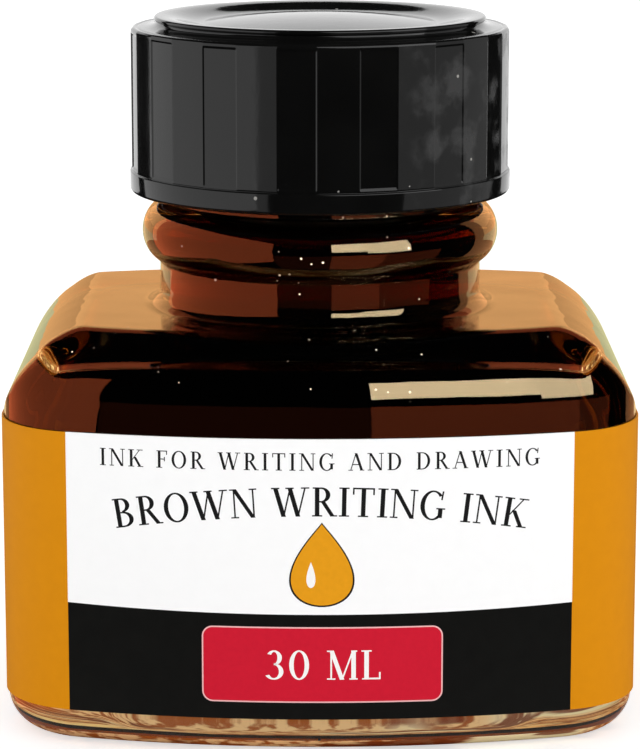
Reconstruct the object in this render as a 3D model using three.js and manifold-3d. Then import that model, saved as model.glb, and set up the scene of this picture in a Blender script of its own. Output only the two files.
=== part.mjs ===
// Ink bottle: a square-shouldered glass bottle with a pen rest, its ink, a paper wrap label,
// and a faceted screw cap with a two-ply liner. Millimetres, +Z up, the front faces -Y,
// the origin is on the resting plane under the neck axis.
import * as THREE from 'three';
import Module from 'manifold-3d';

const wasm = await Module();
wasm.setup();

// Glass body.
const BODY_HALF_WIDTH = 26.7;
const BODY_CREST = 21.2; // from the neck axis to the middle of the bowed front or back
const BOW_RADIUS = 79;
const CORNER_RADIUS = 7.8;
const BASE_ROUND = 3.2;
const BEARING_INSET = 8.5; // the flat ring the bottle stands on ends this far in
const PUNT_DEPTH = 1.2;
const PUNT_CORNER = 5;
const SHOULDER_START = 29.5; // where the edge all round the shoulder starts to curve in
const SHOULDER_TOP = 34.8;
const SHOULDER_REACH = 4.3;
const VAULT_START = 27; // the sides are cut down further, by a vault that runs front to back
const VAULT_REACH = 7;
const VAULT_POWER = 1.65; // 2 would be an ellipse, less leans in sooner

// Pen rest: a shelf with a faint hollow that follows the bowed front along the shoulder.
const REST_HALF_LENGTH = 22.6;
const REST_FLOOR = 32.3; // lowest line of the hollow
const REST_HOLLOW = 0.15;
const REST_SHELF = 3; // from the front face to the foot of the back wall
const REST_BACK = 4.8; // from the front face to the top of the back wall

// Cavity.
const WALL = 5;
const FLOOR = 8.7;
const CAVITY_CORNER = 6.5;
const CAVITY_FLOOR_ROUND = 5;
const CAVITY_SHOULDER_START = 25.5;
const CAVITY_TOP = 32;
const CAVITY_REACH = 5.5;
const BORE_RADIUS = 10.5;
const BORE_FLARE = 1.5;

// Neck and screw finish.
const NECK_RADIUS = 13.9;
const NECK_FILLET = 1.5;
const BEAD_Z = 41.2;
const BEAD_HEIGHT = 5;
const BEAD_RADIUS = 15.4;
const FINISH_RADIUS = 13.2;
const RIM_Z = 55.3;
const RIM_ROUND = 0.8;

// Thread, one start, right-handed.
const PITCH = 4.233; // six threads to the inch
const THREAD_TURNS = 1.5;
const GLASS_THREAD_CREST = 14.15;
const GLASS_THREAD_BASE = 46.9;
const CAP_THREAD_CREST = 13.6;
const CAP_THREAD_BASE = 45.9;

// Cap.
const FLANGE_RADIUS = 16.42;
const FLANGE_HEIGHT = 1.8;
const FACETS = 30;
const FACET_RADIUS = 16.27; // across the facet edges
const FACET_TOP = 58.45;
const CAP_BOTTOM = 44.7;
const CAP_BORE = 14.6;
const CAP_CEILING = 57.5;
const CAP_TOP = 59.7;
const DISC_RADIUS = 14.25;
const RECESS_DEPTH = 0.65; // round the domed middle of the disc
const DOME_RADIUS = 9.9;
const DOME_RISE = 0.65;

// Liner, ink and label.
const CLEARANCE = 0.25;
const LINER_RADIUS = 14.1;
const FACING_THICKNESS = 0.4;
const BACKING_THICKNESS = 1;
const INK_LEVEL = 42.7; // in the neck, just above the middle of the bead
const INK_GAP = 0.3;
const LABEL_GAP = 0.2;
const LABEL_THICKNESS = 0.25;
const LABEL_BOTTOM = 3.3;
const LABEL_TOP = 27.1;
const LABEL_SEAM = 0.6;

// Mesh fineness.
const BOW_STEPS = 5; // per half of the front or back
const CORNER_STEPS = 6;
const ROUND_STEPS = 4;
const SHOULDER_STEPS = 8;
const LATHE_SEGMENTS = 48;
const THREAD_STEPS = 30; // per turn
const REST_SEGMENTS = 144; // in the full circle that the bowed front is a part of

const BODY = { halfWidth: BODY_HALF_WIDTH, crest: BODY_CREST, bow: BOW_RADIUS, corner: CORNER_RADIUS };
const CAVITY = {
  halfWidth: BODY_HALF_WIDTH - WALL,
  crest: BODY_CREST - WALL,
  bow: BOW_RADIUS - WALL,
  corner: CAVITY_CORNER,
};

const QUARTER = Math.PI / 2;

/** Points on an arc from one angle to another, both ends included. */
function arc(x, y, radius, from, to, steps) {
  const points = [];
  for (let i = 0; i <= steps; i++) {
    const angle = from + ((to - from) * i) / steps;
    points.push([x + radius * Math.cos(angle), y + radius * Math.sin(angle)]);
  }
  return points;
}

/**
 * Plan outline with bowed front and back, straight sides and round corners, moved inwards
 * by `inset`. It runs anticlockwise from the middle of the back to the middle of the back,
 * and leaves out half of `seam` at each end.
 */
function outline(plan, inset, seam = 0) {
  const { halfWidth, crest, bow, corner } = plan;
  const cornerX = halfWidth - corner;
  const bowY = bow - crest; // distance of the bow's centre from the neck axis
  const cornerY = Math.sqrt((bow - corner) ** 2 - cornerX ** 2) - bowY;
  const reach = Math.asin(cornerX / (bow - corner)); // half angle of the bow
  const bowRadius = bow - inset;
  const cornerRadius = corner - inset;
  const seamAngle = seam / 2 / bowRadius;
  return [
    ...arc(0, -bowY, bowRadius, QUARTER + seamAngle, QUARTER + reach, BOW_STEPS),
    ...arc(-cornerX, cornerY, cornerRadius, QUARTER + reach, 2 * QUARTER, CORNER_STEPS).slice(1),
    ...arc(-cornerX, -cornerY, cornerRadius, 2 * QUARTER, 3 * QUARTER - reach, CORNER_STEPS),
    ...arc(0, bowY, bowRadius, 3 * QUARTER - reach, 3 * QUARTER + reach, 2 * BOW_STEPS).slice(1),
    ...arc(cornerX, -cornerY, cornerRadius, -QUARTER + reach, 0, CORNER_STEPS).slice(1),
    ...arc(cornerX, cornerY, cornerRadius, 0, QUARTER - reach, CORNER_STEPS),
    ...arc(0, -bowY, bowRadius, QUARTER - reach, QUARTER - seamAngle, BOW_STEPS).slice(1),
  ];
}

/** A level ring of the plan outline, as [x, y, z] points. */
function planRing(plan, inset, z) {
  return outline(plan, inset)
    .slice(0, -1)
    .map(([x, y]) => [x, y, z]);
}

/**
 * Rings that follow a superellipse edge: from the wall at height `from`, inwards by `reach`
 * and up (or down) to `to`, starting `inset` in from the plan.
 */
function edgeRings(plan, steps, { from, to, reach, power = 2, inset = 0 }) {
  const rings = [];
  for (let i = 0; i <= steps; i++) {
    const turn = (QUARTER * i) / steps;
    const inwards = inset + reach * (1 - Math.cos(turn) ** (2 / power));
    rings.push(planRing(plan, inwards, from + (to - from) * Math.sin(turn) ** (2 / power)));
  }
  return rings;
}

/** A closed solid through equal rings, closed at each end on a point on the axis. */
function loft(rings, firstZ, lastZ) {
  const count = rings[0].length;
  const positions = [...rings.flat(2), 0, 0, firstZ, 0, 0, lastZ];
  const first = rings.length * count;
  const last = first + 1;
  const top = (rings.length - 1) * count;
  const index = [];
  for (let i = 0; i < count; i++) {
    const next = (i + 1) % count;
    index.push(first, next, i);
    index.push(last, top + i, top + next);
    for (let row = 0; row < top; row += count) {
      index.push(row + i, row + next, row + count + next);
      index.push(row + i, row + count + next, row + count + i);
    }
  }
  const geometry = new THREE.BufferGeometry();
  geometry.setAttribute('position', new THREE.Float32BufferAttribute(positions, 3));
  geometry.setIndex(index);
  return geometry;
}

/** A solid turned about Z; the profile of [radius, z] pairs starts and ends on the axis. */
function turned(profile, segments = LATHE_SEGMENTS) {
  const rings = profile.slice(1, -1).map(([radius, z]) =>
    arc(0, 0, radius, 0, 2 * Math.PI, segments)
      .slice(0, -1)
      .map(([x, y]) => [x, y, z]),
  );
  return loft(rings, profile[0][1], profile[profile.length - 1][1]);
}

/** A helical ridge whose ends run out into the wall. Its crest may be inside or outside. */
function threadRidge(root, crest, rootHalf, crestHalf, baseZ, startTurn) {
  const steps = Math.round(THREAD_STEPS * THREAD_TURNS);
  const inward = crest < root;
  const positions = [];
  for (let i = 0; i <= steps; i++) {
    const turns = (THREAD_TURNS * i) / steps;
    const fade = Math.min(1, 6 * turns + 0.05, 6 * (THREAD_TURNS - turns) + 0.05);
    const tip = root + (crest - root) * fade;
    const angle = 2 * Math.PI * (startTurn + turns);
    const z = baseZ + PITCH * turns;
    const section = [
      [root, z - rootHalf],
      [tip, z - crestHalf],
      [tip, z + crestHalf],
      [root, z + rootHalf],
    ];
    if (inward) {
      section.reverse();
    }
    for (const [radius, height] of section) {
      positions.push(radius * Math.cos(angle), radius * Math.sin(angle), height);
    }
  }
  const index = [0, 1, 2, 0, 2, 3];
  for (let i = 0; i < steps; i++) {
    for (let side = 0; side < 4; side++) {
      const a = 4 * i + side;
      const b = 4 * i + ((side + 1) % 4);
      index.push(a, a + 4, b + 4, a, b + 4, b);
    }
  }
  const end = 4 * steps;
  index.push(end, end + 2, end + 1, end, end + 3, end + 2);
  const geometry = new THREE.BufferGeometry();
  geometry.setAttribute('position', new THREE.Float32BufferAttribute(positions, 3));
  geometry.setIndex(index);
  return geometry;
}

/** A closed three.js geometry with shared corners, as a manifold solid. */
function toSolid(geometry) {
  return new wasm.Manifold(
    new wasm.Mesh({
      numProp: 3,
      vertProperties: new Float32Array(geometry.attributes.position.array),
      triVerts: new Uint32Array(geometry.index.array),
    }),
  );
}

/** A manifold solid as a three.js geometry. */
function toGeometry(solid) {
  const mesh = solid.getMesh();
  const geometry = new THREE.BufferGeometry();
  geometry.setAttribute('position', new THREE.Float32BufferAttribute(mesh.vertProperties, 3));
  geometry.setIndex(Array.from(mesh.triVerts));
  return geometry;
}

/** Outside of the body: bearing ring, base rounding, straight walls and shoulder. */
function bodySolid() {
  const base = { from: BASE_ROUND, to: 0, reach: BASE_ROUND };
  const shoulder = { from: SHOULDER_START, to: SHOULDER_TOP, reach: SHOULDER_REACH };
  const rings = [
    planRing(BODY, SHOULDER_REACH, 0),
    ...edgeRings(BODY, ROUND_STEPS, base).reverse(),
    ...edgeRings(BODY, SHOULDER_STEPS, shoulder),
  ];
  return toSolid(loft(rings, 0, SHOULDER_TOP)).intersect(vaultSolid());
}

/** Everything below the vault: a block that runs front to back, its top curved down at the sides. */
function vaultSolid() {
  const right = [];
  for (let i = 0; i <= SHOULDER_STEPS; i++) {
    const turn = (QUARTER * i) / SHOULDER_STEPS;
    const x = BODY_HALF_WIDTH - VAULT_REACH * (1 - Math.cos(turn) ** (2 / VAULT_POWER));
    const z = VAULT_START + (SHOULDER_TOP - VAULT_START) * Math.sin(turn) ** (2 / VAULT_POWER);
    right.push([x, z]);
  }
  right[SHOULDER_STEPS][1] = SHOULDER_TOP + 0.5;
  const left = right.map(([x, z]) => [-x, z]).reverse();
  const edge = BODY_HALF_WIDTH + 0.5;
  const profile = [[-edge, -1], [edge, -1], [edge, VAULT_START], ...right, ...left, [-edge, VAULT_START]];
  const length = 2 * BODY_CREST + 2;
  return new wasm.CrossSection([profile]).extrude(length).rotate([90, 0, 0]).translate([0, length / 2, 0]);
}

/** The shallow hollow pushed up into the base. */
function puntSolid() {
  const plan = {
    halfWidth: BODY_HALF_WIDTH - BEARING_INSET,
    crest: BODY_CREST - BEARING_INSET,
    bow: BOW_RADIUS - BEARING_INSET,
    corner: PUNT_CORNER,
  };
  const dome = { from: 0, to: PUNT_DEPTH, reach: PUNT_CORNER - 1 };
  const rings = [planRing(plan, 0, -1), ...edgeRings(plan, ROUND_STEPS, dome)];
  return toSolid(loft(rings, -1, PUNT_DEPTH));
}

/** The space below the neck, shrunk by `gap` all round. */
function cavitySolid(gap = 0) {
  const floor = {
    from: FLOOR + CAVITY_FLOOR_ROUND,
    to: FLOOR + gap,
    reach: CAVITY_FLOOR_ROUND,
    inset: gap,
  };
  const shoulder = {
    from: CAVITY_SHOULDER_START,
    to: CAVITY_TOP - gap,
    reach: CAVITY_REACH,
    inset: gap,
  };
  const rings = [
    ...edgeRings(CAVITY, ROUND_STEPS, floor).reverse(),
    ...edgeRings(CAVITY, SHOULDER_STEPS, shoulder),
  ];
  return toSolid(loft(rings, FLOOR + gap, CAVITY_TOP - gap));
}

/** The foot of the bore, flared where it opens into the cavity and shrunk by `gap`. */
function flareProfile(gap = 0) {
  const radius = BORE_RADIUS - gap;
  const z = CAVITY_TOP - gap;
  return [
    [0, z - 1],
    [radius + BORE_FLARE, z - 1],
    ...arc(radius + BORE_FLARE, z + BORE_FLARE, BORE_FLARE, -QUARTER, -2 * QUARTER, ROUND_STEPS),
  ];
}

/** Round bore through the neck, rounded off at the rim. */
function boreSolid() {
  const rim = [
    [BORE_RADIUS, RIM_Z - RIM_ROUND],
    [BORE_RADIUS + RIM_ROUND, RIM_Z + 0.01],
    [0, RIM_Z + 0.01],
  ];
  return toSolid(turned([...flareProfile(), ...rim]));
}

/** The shelf that a pen lies on, turned about the centre of the front's bow. */
function penRestSolid() {
  const above = SHOULDER_TOP + 1;
  const middle = REST_SHELF / 2;
  // Distance behind the front face, and height.
  const profile = [
    [-1, REST_FLOOR + REST_HOLLOW],
    [0.2, REST_FLOOR + REST_HOLLOW],
    [middle - 0.5, REST_FLOOR + REST_HOLLOW / 4],
    [middle, REST_FLOOR],
    [middle + 0.7, REST_FLOOR + REST_HOLLOW / 3],
    [REST_SHELF - 0.3, REST_FLOOR + REST_HOLLOW],
    [REST_SHELF + 0.2, REST_FLOOR + 3 * REST_HOLLOW],
    [REST_BACK, SHOULDER_TOP],
    [REST_BACK, above],
    [-1, above],
  ];
  const section = profile.map(([depth, z]) => [BOW_RADIUS - depth, z]).reverse();
  const ring = new wasm.CrossSection([section]).revolve(REST_SEGMENTS).translate([0, BOW_RADIUS - BODY_CREST, 0]);
  const size = [2 * REST_HALF_LENGTH, 2 * BODY_CREST + 2, 2 * above];
  return ring.intersect(wasm.Manifold.cube(size, true));
}

/** Fillet between the shoulder and the neck. */
function filletSolid() {
  const foot = NECK_RADIUS + NECK_FILLET;
  const top = SHOULDER_TOP + NECK_FILLET;
  const curve = arc(foot, top, NECK_FILLET, -QUARTER, -2 * QUARTER, ROUND_STEPS);
  return toSolid(turned([[0, SHOULDER_TOP - 1], [foot, SHOULDER_TOP - 1], ...curve, [0, top]]));
}

/** Neck from inside the shoulder to the rim, with its bead and the plain screw finish. */
function neckSolid() {
  const bead = arc(0, 0, 1, -QUARTER, QUARTER, 10).map(([x, y]) => [
    NECK_RADIUS + (BEAD_RADIUS - NECK_RADIUS) * x,
    BEAD_Z + (BEAD_HEIGHT / 2) * y,
  ]);
  bead.pop();
  const rim = arc(FINISH_RADIUS - RIM_ROUND, RIM_Z - RIM_ROUND, RIM_ROUND, 0, QUARTER, 3);
  return toSolid(
    turned([
      [0, CAVITY_TOP - 1],
      [NECK_RADIUS, CAVITY_TOP - 1],
      ...bead,
      [FINISH_RADIUS, BEAD_Z + BEAD_HEIGHT / 2],
      ...rim,
      [0, RIM_Z],
    ]),
  );
}

/** The glass bottle, one hollow piece. */
function glassBottle() {
  const thread = toSolid(
    threadRidge(FINISH_RADIUS - 0.3, GLASS_THREAD_CREST, 1.15, 0.5, GLASS_THREAD_BASE, 0),
  );
  const solid = bodySolid()
    .subtract(puntSolid())
    .add(filletSolid())
    .subtract(penRestSolid())
    .add(neckSolid())
    .add(thread)
    .subtract(cavitySolid())
    .subtract(boreSolid());
  return toGeometry(solid);
}

/** The liquid: the cavity's own shape and the bore's, up to the filling level. */
function ink() {
  const neck = [...flareProfile(INK_GAP), [BORE_RADIUS - INK_GAP, INK_LEVEL], [0, INK_LEVEL]];
  return toGeometry(cavitySolid(INK_GAP).add(toSolid(turned(neck))));
}

/** Paper wrapped once round the straight walls, its ends a seam apart behind. */
function label() {
  const inner = outline(BODY, -LABEL_GAP, LABEL_SEAM);
  const outer = outline(BODY, -LABEL_GAP - LABEL_THICKNESS, LABEL_SEAM);
  const shape = new THREE.Shape([...outer, ...inner.reverse()].map(([x, y]) => new THREE.Vector2(x, y)));
  const geometry = new THREE.ExtrudeGeometry(shape, { depth: LABEL_TOP - LABEL_BOTTOM, bevelEnabled: false });
  geometry.translate(0, 0, LABEL_BOTTOM);
  return geometry;
}

/** A round or faceted ring of the cap, with a point on every facet edge and middle. */
function capRing(radius, z, faceted = false) {
  const ring = [];
  for (let i = 0; i < 2 * FACETS; i++) {
    const angle = (Math.PI * i) / FACETS - QUARTER;
    const flat = faceted && i % 2 === 1 ? Math.cos(Math.PI / FACETS) : 1;
    ring.push([radius * flat * Math.cos(angle), radius * flat * Math.sin(angle), z]);
  }
  return ring;
}

/** Moulded cap: flange, faceted grip, raised dished disc, and a thread inside. */
function capShell() {
  const flangeTop = CAP_BOTTOM + FLANGE_HEIGHT;
  const domeTop = CAP_TOP - RECESS_DEPTH + DOME_RISE;
  const edge = 0.3;
  const rings = [
    capRing(CAP_BORE, CAP_CEILING),
    capRing(CAP_BORE, CAP_BOTTOM + 2 * edge),
    capRing(CAP_BORE + edge, CAP_BOTTOM),
    capRing(FLANGE_RADIUS - edge, CAP_BOTTOM),
    capRing(FLANGE_RADIUS, CAP_BOTTOM + edge),
    capRing(FLANGE_RADIUS, flangeTop - edge),
    capRing(FACET_RADIUS, flangeTop, true),
    capRing(FACET_RADIUS, FACET_TOP, true),
    capRing(FACET_RADIUS - edge, FACET_TOP + edge),
    capRing(DISC_RADIUS + edge, FACET_TOP + 1.5 * edge),
    capRing(DISC_RADIUS - edge / 2, CAP_TOP - 2 * edge),
    capRing(DISC_RADIUS, CAP_TOP - edge),
    capRing(DISC_RADIUS - edge, CAP_TOP),
    capRing(DISC_RADIUS - 2.5 * edge, CAP_TOP),
    capRing(DOME_RADIUS + 1.8, CAP_TOP - RECESS_DEPTH / 2),
    capRing(DOME_RADIUS, CAP_TOP - RECESS_DEPTH),
    capRing(DOME_RADIUS * 0.7, domeTop - DOME_RISE * 0.7 ** 2),
    capRing(DOME_RADIUS * 0.35, domeTop - DOME_RISE * 0.35 ** 2),
  ];
  // At any angle the cap's ridge sits half a pitch from the bottle's.
  const startTurn = (CAP_THREAD_BASE - GLASS_THREAD_BASE) / PITCH + 0.5;
  const thread = toSolid(
    threadRidge(CAP_BORE + 0.3, CAP_THREAD_CREST, 0.95, 0.4, CAP_THREAD_BASE, startTurn),
  );
  return toGeometry(toSolid(loft(rings, CAP_CEILING, domeTop)).add(thread));
}

/** A flat round ply of the liner, from `bottom` up. */
function linerPly(bottom, thickness) {
  return turned([
    [0, bottom],
    [LINER_RADIUS, bottom],
    [LINER_RADIUS, bottom + thickness],
    [0, bottom + thickness],
  ]);
}

const facingZ = RIM_Z + CLEARANCE;
const backingZ = facingZ + FACING_THICKNESS + CLEARANCE;

const pieces = [
  ['glass_bottle', glassBottle(), 0xdfe6cf, 0.05, 0],
  ['ink', ink(), 0x3a1206, 0.1, 0],
  ['wrap_label', label(), 0xdc8c08, 0.55, 0],
  ['cap_shell', capShell(), 0x0c0c0d, 0.2, 0],
  ['liner_backing', linerPly(backingZ, BACKING_THICKNESS), 0xc9b08a, 0.9, 0],
  ['liner_facing', linerPly(facingZ, FACING_THICKNESS), 0xf2f2ee, 0.4, 0],
];

const bottle = new THREE.Group();
bottle.name = 'ink_bottle';
for (const [name, geometry, color, roughness, metalness] of pieces) {
  const material = new THREE.MeshStandardMaterial({ color, roughness, metalness });
  const mesh = new THREE.Mesh(geometry, material);
  mesh.name = name;
  bottle.add(mesh);
}

export default bottle;
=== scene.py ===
import math

import bpy
import numpy as np
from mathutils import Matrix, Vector


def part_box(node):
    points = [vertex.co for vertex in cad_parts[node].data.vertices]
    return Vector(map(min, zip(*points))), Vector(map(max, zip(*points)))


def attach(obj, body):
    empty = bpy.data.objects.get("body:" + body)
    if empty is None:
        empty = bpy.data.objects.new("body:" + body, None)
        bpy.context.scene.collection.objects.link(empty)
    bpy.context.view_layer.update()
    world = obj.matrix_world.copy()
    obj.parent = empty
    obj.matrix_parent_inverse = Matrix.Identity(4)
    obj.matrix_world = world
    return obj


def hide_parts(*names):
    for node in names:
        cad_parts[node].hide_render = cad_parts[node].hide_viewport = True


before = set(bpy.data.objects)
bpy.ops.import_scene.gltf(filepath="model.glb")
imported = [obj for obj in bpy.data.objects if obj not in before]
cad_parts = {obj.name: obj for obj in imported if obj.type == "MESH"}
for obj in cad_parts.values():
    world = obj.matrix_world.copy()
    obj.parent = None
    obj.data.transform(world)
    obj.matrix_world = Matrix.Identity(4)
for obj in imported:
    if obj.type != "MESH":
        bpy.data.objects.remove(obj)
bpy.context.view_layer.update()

# Lengths here are in millimetres; MM turns them into the frame's metres.
MM = 0.001


def box_mm(node):
    """Lowest and highest corner of a CAD node, in millimetres."""
    low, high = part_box(node)
    return np.array(low) / MM, np.array(high) / MM


_, GLASS_HIGH = box_mm("glass_bottle")
LABEL_LOW, LABEL_HIGH = box_mm("wrap_label")
CAP_LOW, CAP_HIGH = box_mm("cap_shell")
_, INK_HIGH = box_mm("ink")
BACKING_LOW, BACKING_HIGH = box_mm("liner_backing")
FACING_LOW, FACING_HIGH = box_mm("liner_facing")

# Plan of the body, as in the CAD: bowed front and back, straight sides, round corners.
HALF_WIDTH = GLASS_HIGH[0]
CREST = GLASS_HIGH[1]
BOW_RADIUS = 79.0
CORNER_RADIUS = 7.8
BODY = {"half_width": HALF_WIDTH, "crest": CREST, "bow": BOW_RADIUS, "corner": CORNER_RADIUS}

BASE_ROUND = 3.2
BEARING_INSET = 8.5
PUNT_DEPTH = 1.2
PUNT_SLOPE = 4.0
UNDERSIDE_ROWS = 23  # rows of the punt, the bearing ring and the start of the base's rounding
SHOULDER_START = 29.5
SHOULDER_TOP = 34.8
SHOULDER_REACH = 4.3
VAULT_START = 27.0
VAULT_REACH = 7.0
VAULT_POWER = 1.65
CREASE = 1.2  # how softly the vault meets the edge of the shoulder
PUNT = {
    "half_width": HALF_WIDTH - BEARING_INSET,
    "crest": CREST - BEARING_INSET,
    "bow": BOW_RADIUS - BEARING_INSET,
    "corner": 5.0,
}

# Pen rest: a shelf that rises gently from the front edge to a back wall, closed at its ends.
REST_LIP = 32.35
REST_SHELF = 2.9  # from the front face to the foot of the back wall
REST_RISE = 0.22  # slopes of the shelf and of the wall
REST_WALL = 1.15
REST_SAG = 0.4  # how far the shelf has dropped at REST_SAG_AT from the middle
REST_SAG_AT = 18.0
REST_END = 22.0
REST_FOOT_ROUND = 0.6
REST_BROW_ROUND = 1.7
REST_RIDGE = 0.16  # height, place and half width of the ridge along the front edge
REST_RIDGE_AT = 0.75
REST_RIDGE_HALF = 0.35

WALL = 5.0
FLOOR = 8.7
CAVITY_FLOOR_ROUND = 5.0
CAVITY_SHOULDER_START = 25.5
CAVITY_TOP = 32.0
CAVITY_REACH = 5.5
BORE_RADIUS = 10.5
BORE_FLARE = 1.5
CAVITY = {
    "half_width": HALF_WIDTH - WALL,
    "crest": CREST - WALL,
    "bow": BOW_RADIUS - WALL,
    "corner": 6.5,
}

NECK_RADIUS = 13.9
NECK_FILLET = 1.5
BEAD_Z = 41.2
BEAD_RADIUS = 15.4
BEAD_ROUND = 2.2
BEAD_HALF_HEIGHT = 2.64
FINISH_RADIUS = 13.2
RIM_Z = GLASS_HIGH[2]
RIM_ROUND = 0.8

PITCH = 4.233
THREAD_TURNS = 1.5
GLASS_THREAD_CREST = 14.15
GLASS_THREAD_BASE = 46.9
CAP_THREAD_CREST = 13.6
CAP_THREAD_BASE = 45.9

# The liquid ends this far inside the glass. The glass's wetted wall bends light as glass
# against ink does, and the liquid's own sides let it straight on.
INK_GAP = 0.01
INK_LEVEL = INK_HIGH[2]
GLASS_IOR = 1.5
INK_IOR = 1.34
MENISCUS_HEIGHT = 0.9
MENISCUS_REACH = 1.6

FACET_RADIUS = 16.27
FLANGE_RADIUS = CAP_HIGH[0]
FLANGE_HEIGHT = 1.8
FACET_TOP = 58.45
CAP_BORE = 14.6
CAP_CEILING = 57.5
CAP_TOP = CAP_HIGH[2]
DISC_RADIUS = 14.25
RECESS_DEPTH = 0.65
DOME_RADIUS = 9.9
DOME_RISE = 0.65

# The grip's facets come in pairs of a wide one and a slightly sunken narrow one, in degrees.
PAIR = 24.0
WIDE = 12.7
FIRST_EDGE = -1.0
SUNK = 0.09
FACET_BOW = 0.35  # 0 for flat facets, 1 for a round grip
SUNK_FROM = 0.24  # above the flange
SUNK_TO = 0.14  # below the top of the facets

LABEL_BOTTOM = LABEL_LOW[2]
LABEL_TOP = LABEL_HIGH[2]
LABEL_GAP = 0.05
LABEL_THICKNESS = 0.16
LABEL_SEAM = 0.2
PANEL_HALF = 20.97  # white front panel, from its middle to its edge
BAND_TOP = 12.3
BAND_CURVE = 0.00075  # rise of the black band's top towards its ends, per square millimetre

PRINT_SINK = 0.02  # how far the slivers of print reach into the paper

# What the glass and the ink let through, and how fast they take the rest.
GLASS_TINT = (0.97, 0.8, 0.45)
GLASS_DENSITY = 55.0
INK_TINT = (0.8, 0.55, 0.0)
INK_DENSITY = 1000.0

# Columns round the bottle, per stretch of its plan.
BACK_STEPS = 40
SIDE_STEPS = 50
FRONT_STEPS = 110
CORNER_STEPS = 36


def arc(x, y, radius, start, end, steps, skip_first=True):
    """Points on an arc, without the first one unless it's asked for."""
    t = np.linspace(start, end, steps + 1)[1 if skip_first else 0 :]
    return np.stack([x + radius * np.cos(t), y + radius * np.sin(t)], axis=1)


def plan_centres(plan):
    """Centre of the front right corner's arc, and how far past the middle the bow's centre lies."""
    corner_x = plan["half_width"] - plan["corner"]
    bow_y = plan["bow"] - plan["crest"]
    return corner_x, math.sqrt((plan["bow"] - plan["corner"]) ** 2 - corner_x**2) - bow_y, bow_y


def outline(plan, inset, seam=0.0, closed=True):
    """Plan outline, moved inwards by inset, anticlockwise from the middle of the back."""
    corner_x, corner_y, bow_y = plan_centres(plan)
    reach = math.asin(corner_x / (plan["bow"] - plan["corner"]))
    bow = plan["bow"] - inset
    corner = plan["corner"] - inset
    right = math.pi / 2
    gap = seam / 2 / bow
    half_back = BACK_STEPS // 2
    side = np.linspace(corner_y, -corner_y, SIDE_STEPS + 1)[1:-1]
    edge = plan["half_width"] - inset
    points = np.concatenate(
        [
            arc(0, -bow_y, bow, right + gap, right + reach, half_back, skip_first=False),
            arc(-corner_x, corner_y, corner, right + reach, 2 * right, CORNER_STEPS),
            np.stack([np.full_like(side, -edge), side], axis=1),
            arc(-corner_x, -corner_y, corner, 2 * right, 3 * right - reach, CORNER_STEPS, skip_first=False),
            arc(0, bow_y, bow, 3 * right - reach, 3 * right + reach, FRONT_STEPS),
            arc(corner_x, -corner_y, corner, -right + reach, 0, CORNER_STEPS),
            np.stack([np.full_like(side, edge), side[::-1]], axis=1),
            arc(corner_x, corner_y, corner, 0, right - reach, CORNER_STEPS, skip_first=False),
            arc(0, -bow_y, bow, right - reach, right - gap, half_back),
        ]
    )
    return points[:-1] if closed else points


def depth_inside(plan, x, y):
    """How far points lie inside the plan's outline."""
    x, y = np.abs(x), np.abs(y)
    corner_x, corner_y, bow_y = plan_centres(plan)
    from_side = plan["half_width"] - x
    from_bow = plan["bow"] - np.hypot(x, y + bow_y)
    from_corner = plan["corner"] - np.hypot(x - corner_x, y - corner_y)
    # The corner's arc ends where the line from the bow's centre passes the corner's.
    past_bow = x * (corner_y + bow_y) > corner_x * (y + bow_y)
    in_corner = (y > corner_y) & past_bow & (x > corner_x * 0.9)
    return np.where(in_corner, from_corner, np.minimum(from_side, from_bow))


def soft_max(a, b, radius):
    """The larger of two values, with the step between them rounded off."""
    h = np.maximum(radius - np.abs(a - b), 0.0) / radius
    return np.maximum(a, b) + h**2 * radius / 4


def soft_min(a, b, radius):
    return -soft_max(-a, -b, radius)


def superellipse_height(inset, reach, power=2.0):
    """Rise, from 0 to 1, of an edge rounded over `reach`."""
    t = np.clip(1 - inset / reach, 0, 1)
    return (1 - t**power) ** (1 / power)


def shoulder_height(x, y):
    """Top surface of the body: the shoulder's edge, the vault over it, and the pen rest."""
    rise = superellipse_height(depth_inside(BODY, x, y), SHOULDER_REACH)
    edge = SHOULDER_START + (SHOULDER_TOP - SHOULDER_START) * rise
    rise = superellipse_height(HALF_WIDTH - np.abs(x), VAULT_REACH, VAULT_POWER)
    vault = VAULT_START + (SHOULDER_TOP - VAULT_START) * rise
    crease = np.clip(SHOULDER_TOP - np.minimum(edge, vault), 0.001, CREASE)
    pillow = soft_min(edge, vault, crease)
    depth = BOW_RADIUS - np.hypot(x, y - (BOW_RADIUS - CREST))
    ridge = REST_RIDGE * np.exp(-(((depth - REST_RIDGE_AT) / REST_RIDGE_HALF) ** 2))
    shelf = REST_LIP + REST_RISE * depth + ridge
    wall = REST_LIP + REST_RISE * REST_SHELF + REST_WALL * (depth - REST_SHELF)
    end = REST_LIP + 1.5 * (np.abs(x) - REST_END)
    rest = soft_max(soft_max(shelf, wall, REST_FOOT_ROUND), end, 1.0)
    rest = rest - REST_SAG * (np.abs(x) / REST_SAG_AT) ** 4
    return soft_min(pillow, rest, np.clip(pillow - REST_LIP, 0.4, REST_BROW_ROUND))


def ceiling_height(x, y, gap=0.0):
    """Top surface of the cavity."""
    rise = superellipse_height(depth_inside(CAVITY, x, y), CAVITY_REACH)
    return CAVITY_SHOULDER_START + (CAVITY_TOP - CAVITY_SHOULDER_START) * rise + gap


def level(points, z):
    """Points in plan, set at a height."""
    z = np.broadcast_to(z, (len(points),))
    return np.column_stack([points, z])


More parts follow.
